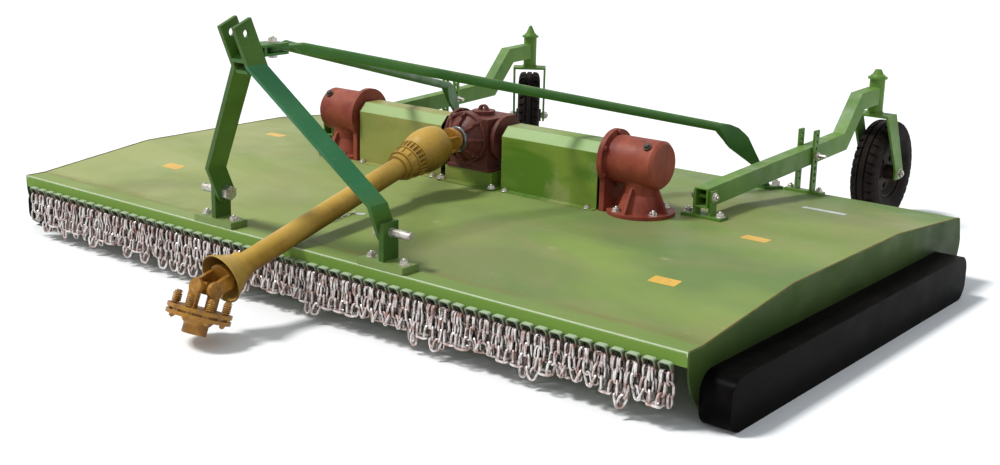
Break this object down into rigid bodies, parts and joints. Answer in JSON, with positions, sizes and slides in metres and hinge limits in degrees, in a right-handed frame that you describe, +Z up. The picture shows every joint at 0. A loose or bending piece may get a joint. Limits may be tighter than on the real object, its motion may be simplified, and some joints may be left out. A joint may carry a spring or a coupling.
{
  "type": "tractor-mounted chain mower",
  "caption": "Wide rear-mounted rotary chain mower with a front chain curtain, hitch mast, drive shaft, side skids and rear castor wheels.",
  "frame": {"origin": "middle of the whole machine's box, on the ground", "axes": "+X to the right seen from the hitch, +Y to the rear, +Z up; the hitch is on the -Y side"},
  "size_m": [3.28, 3.3432, 1.0145],
  "materials": {
    "deck_paint": "sun-faded satin",
    "frame_paint": "satin",
    "mast_paint": "satin",
    "stay_paint": "satin",
    "skid_paint": "worn satin",
    "primer": "matt primer on castings",
    "guard_plastic": "matt",
    "joint_paint": "satin",
    "zinc": "zinc plated",
    "chain_steel": "lightly rusted",
    "dark_steel": "dull",
    "tyre": "matt"
  },
  "bodies": {
    "frame": {"deck": "deck_paint", "side_plates": "deck_paint", "rear_skirt": "deck_paint", "deck_stiffeners": "deck_paint", "skids": "skid_paint", "chain_loops": "deck_paint", "chain_curtain": "chain_steel", "mast_legs": "mast_paint", "mast_spacers": "stay_paint", "hitch_lugs": "frame_paint", "hitch_pins": "zinc", "stay_bracket": "stay_paint", "stays": "stay_paint", "pedestal": "frame_paint", "centre_gearbox": "primer", "side_gearbox_right": "primer", "side_gearbox_left": "primer", "shaft_covers": "frame_paint", "arm_brackets": "frame_paint", "castor_arm_right": "frame_paint", "castor_arm_left": "frame_paint", "height_bars": "frame_paint", "height_bolts": "zinc"},
    "castor_right": {"fork_right": "frame_paint", "axle_right": "zinc"},
    "castor_left": {"fork_left": "frame_paint", "axle_left": "zinc"},
    "wheel_right": {"tyre_right": "tyre", "rim_right": "dark_steel"},
    "wheel_left": {"tyre_left": "tyre", "rim_left": "dark_steel"},
    "rotor_right": {"rotor_right": "dark_steel", "cutting_chains_right": "chain_steel"},
    "rotor_left": {"rotor_left": "dark_steel", "cutting_chains_left": "chain_steel"},
    "cross_drive": {"cross_shafts": "dark_steel"},
    "input": {"input_yoke": "joint_paint"},
    "rear_half": {"guard_rear": "guard_plastic"},
    "drive_rear": {"shaft_rear": "joint_paint"},
    "front_half": {"guard_front": "guard_plastic"},
    "drive_front": {"shaft_front": "joint_paint"},
    "clutch": {"clutch_plates": "joint_paint", "clutch_springs": "joint_paint", "clutch_hub": "joint_paint"}
  },
  "joints": [
    {"name": "rotor_right_spin", "type": "hinge", "parent": "frame", "child": "rotor_right", "pos_m": [0.727, -0.17243, 0.19], "axis": [0, 0, 1], "continuous": true},
    {"name": "rotor_left_spin", "type": "hinge", "parent": "frame", "child": "rotor_left", "pos_m": [-0.727, -0.17243, 0.19], "axis": [0, 0, 1], "continuous": true},
    {"name": "cross_drive_spin", "type": "hinge", "parent": "frame", "child": "cross_drive", "pos_m": [0, -0.17243, 0.48], "axis": [1, 0, 0], "continuous": true},
    {"name": "input_spin", "type": "hinge", "parent": "frame", "child": "input", "pos_m": [0, -0.35043, 0.483], "axis": [0, 1, 0], "continuous": true},
    {"name": "shaft_lift", "type": "hinge", "parent": "frame", "child": "rear_half", "pos_m": [0, -0.44043, 0.483], "axis": [-1, 0, 0], "range_deg": [0, 29]},
    {"name": "shaft_slide", "type": "slide", "parent": "rear_half", "child": "front_half", "axis": [0, -0.9632, -0.2689], "range_m": [0, 0.25]},
    {"name": "drive_rear_spin", "type": "hinge", "parent": "rear_half", "child": "drive_rear", "pos_m": [0, -0.44043, 0.483], "axis": [0, 0.9632, 0.2689], "continuous": true},
    {"name": "drive_front_spin", "type": "hinge", "parent": "front_half", "child": "drive_front", "pos_m": [0, -1.53843, 0.17643], "axis": [0, 0.9632, 0.2689], "continuous": true},
    {"name": "clutch_tilt", "type": "hinge", "parent": "drive_front", "child": "clutch", "pos_m": [0, -1.53843, 0.17643], "axis": [-1, 0, 0], "range_deg": [0, 90]},
    {"name": "castor_right_swivel", "type": "hinge", "parent": "frame", "child": "castor_right", "pos_m": [0.924, 1.31957, 0.56], "axis": [0, 0, 1], "continuous": true},
    {"name": "castor_left_swivel", "type": "hinge", "parent": "frame", "child": "castor_left", "pos_m": [-0.924, 1.31957, 0.56], "axis": [0, 0, 1], "continuous": true},
    {"name": "wheel_right_spin", "type": "hinge", "parent": "castor_right", "child": "wheel_right", "pos_m": [0.924, 1.44957, 0.222], "axis": [1, 0, 0], "continuous": true},
    {"name": "wheel_left_spin", "type": "hinge", "parent": "castor_left", "child": "wheel_left", "pos_m": [-1.00224, 1.42339, 0.222], "axis": [0.7986, 0.6018, 0], "continuous": true}
  ],
  "couplings": [
    {"joint": "rotor_left_spin", "follows": "rotor_right_spin", "ratio": -1},
    {"joint": "cross_drive_spin", "follows": "rotor_right_spin", "ratio": 0.545},
    {"joint": "input_spin", "follows": "rotor_right_spin", "ratio": 0.545},
    {"joint": "drive_rear_spin", "follows": "rotor_right_spin", "ratio": 0.545},
    {"joint": "drive_front_spin", "follows": "rotor_right_spin", "ratio": 0.545}
  ]
}
